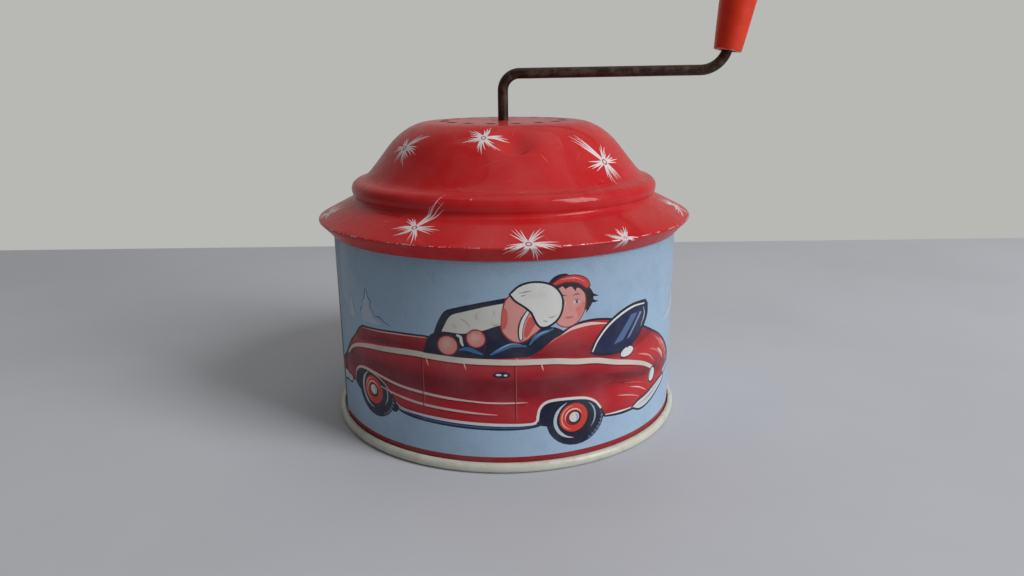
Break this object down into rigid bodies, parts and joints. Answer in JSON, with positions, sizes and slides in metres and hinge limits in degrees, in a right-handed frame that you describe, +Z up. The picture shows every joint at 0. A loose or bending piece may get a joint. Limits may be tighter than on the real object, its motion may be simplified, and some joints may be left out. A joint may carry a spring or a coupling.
{
  "type": "hand-crank tin music box",
  "caption": "Round printed tin music box: domed red cover with sound holes, a hand crank on top with a turning knob, and a pinned drum and comb inside.",
  "frame": {"origin": "the crank axis at the centre of the base panel, at the level of the rim that the tin stands on", "axes": "+Z up along the crank shaft, +X along the crank arm at rest, the picture faces -Y"},
  "size_m": [0.1073, 0.0906, 0.1149],
  "materials": {
    "red_litho_tin": "varnished red lithographed tinplate with white star strokes, worn at the edges",
    "picture_litho_tin": "varnished lithographed tinplate, pale blue with a printed picture",
    "cream_enamel": "cream enamelled tinplate, chipped",
    "dark_steel_wire": "dark brown oxidised steel wire",
    "red_painted_wood": "orange-red painted turned wood",
    "zinc_casting": "dull zinc-grey metal",
    "brass": "satin brass",
    "spring_steel": "blued-grey spring steel",
    "plain_steel": "plain turned steel"
  },
  "bodies": {
    "tin": {"top_cover": "red_litho_tin", "body_shell": "picture_litho_tin", "base_pan": "cream_enamel", "movement_plate": "zinc_casting", "plate_rivet_1": "plain_steel", "plate_rivet_2": "plain_steel", "plate_rivet_3": "plain_steel", "plate_rivet_4": "plain_steel", "drum_bracket_left": "zinc_casting", "drum_bracket_right": "zinc_casting", "worm_bridge": "zinc_casting", "footstep_bush": "brass", "comb_block": "zinc_casting", "music_comb": "spring_steel", "comb_clamp": "brass", "bridge_screw_1": "plain_steel", "bridge_screw_2": "plain_steel", "bracket_screw_left": "plain_steel", "bracket_screw_right": "plain_steel", "comb_screw_1": "plain_steel", "comb_screw_2": "plain_steel"},
    "crank": {"crank_wire": "dark_steel_wire", "worm": "brass", "shaft_collar": "brass", "knob_washer": "plain_steel"},
    "knob": {"crank_knob": "red_painted_wood"},
    "drum": {"drum_arbor": "plain_steel", "pinned_drum": "brass", "drum_end_cap_left": "brass", "drum_end_cap_right": "brass", "worm_wheel": "brass"}
  },
  "joints": [
    {"name": "crank_turn", "type": "hinge", "parent": "tin", "child": "crank", "pos_m": [0, 0, 0.0716], "axis": [0, 0, 1], "continuous": true},
    {"name": "knob_spin", "type": "hinge", "parent": "crank", "child": "knob", "pos_m": [0.05364, 0, 0.08712], "axis": [0.1478, 0, 0.989], "continuous": true},
    {"name": "drum_turn", "type": "hinge", "parent": "tin", "child": "drum", "pos_m": [0, 0.0136, 0.016], "axis": [1, 0, 0], "continuous": true}
  ],
  "couplings": [
    {"joint": "drum_turn", "follows": "crank_turn", "ratio": 0.041667}
  ]
}
